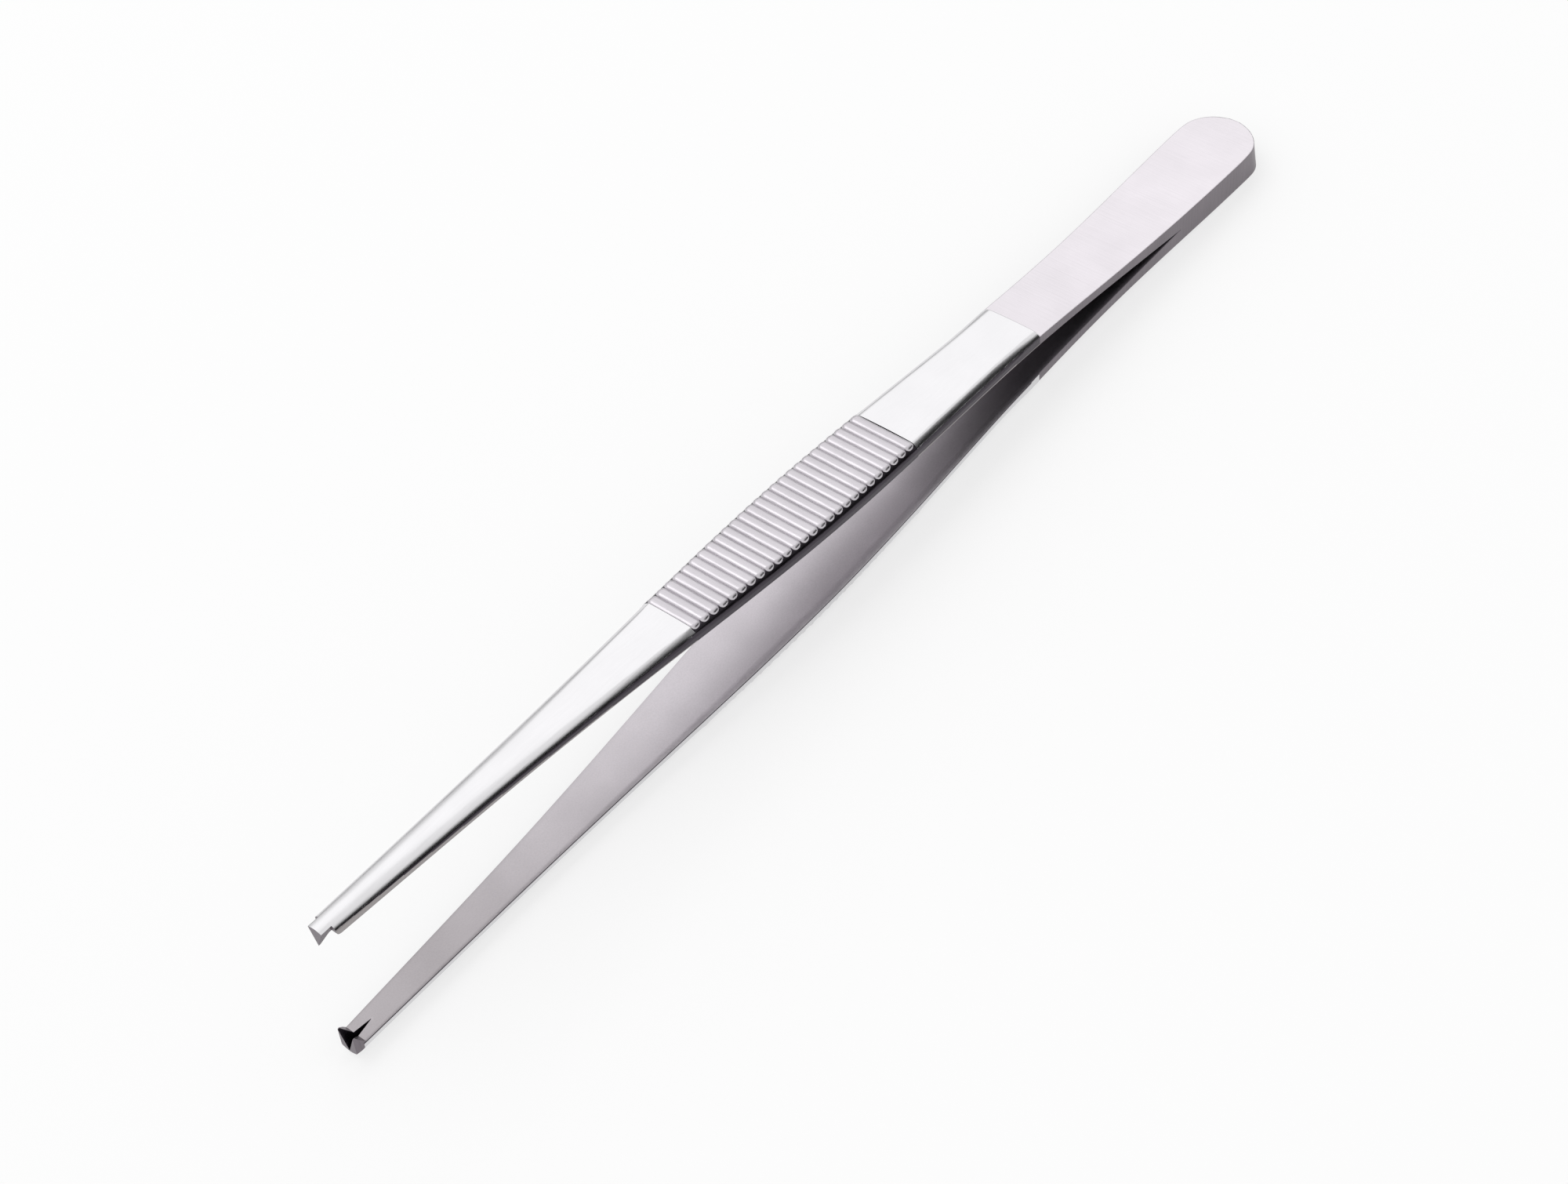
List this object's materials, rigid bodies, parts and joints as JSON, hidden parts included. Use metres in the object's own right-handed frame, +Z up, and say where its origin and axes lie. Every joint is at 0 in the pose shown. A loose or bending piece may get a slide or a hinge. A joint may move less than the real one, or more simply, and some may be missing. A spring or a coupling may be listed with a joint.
{
  "type": "thumb forceps",
  "caption": "Sprung steel thumb forceps with cross-ribbed finger grips, a rounded welded heel and toothed tips that close one between two.",
  "frame": {"origin": "centre of the footprint on the surface that the forceps lies on", "axes": "+Z up, +X towards the welded heel, -X towards the tips, +Y across the arms"},
  "size_m": [0.1462, 0.009, 0.0194],
  "materials": {
    "stainless_steel": "satin heel and inner faces, polished body and tips"
  },
  "bodies": {
    "root": {"upper_arm": "stainless_steel", "lower_arm": "stainless_steel"}
  },
  "joints": []
}
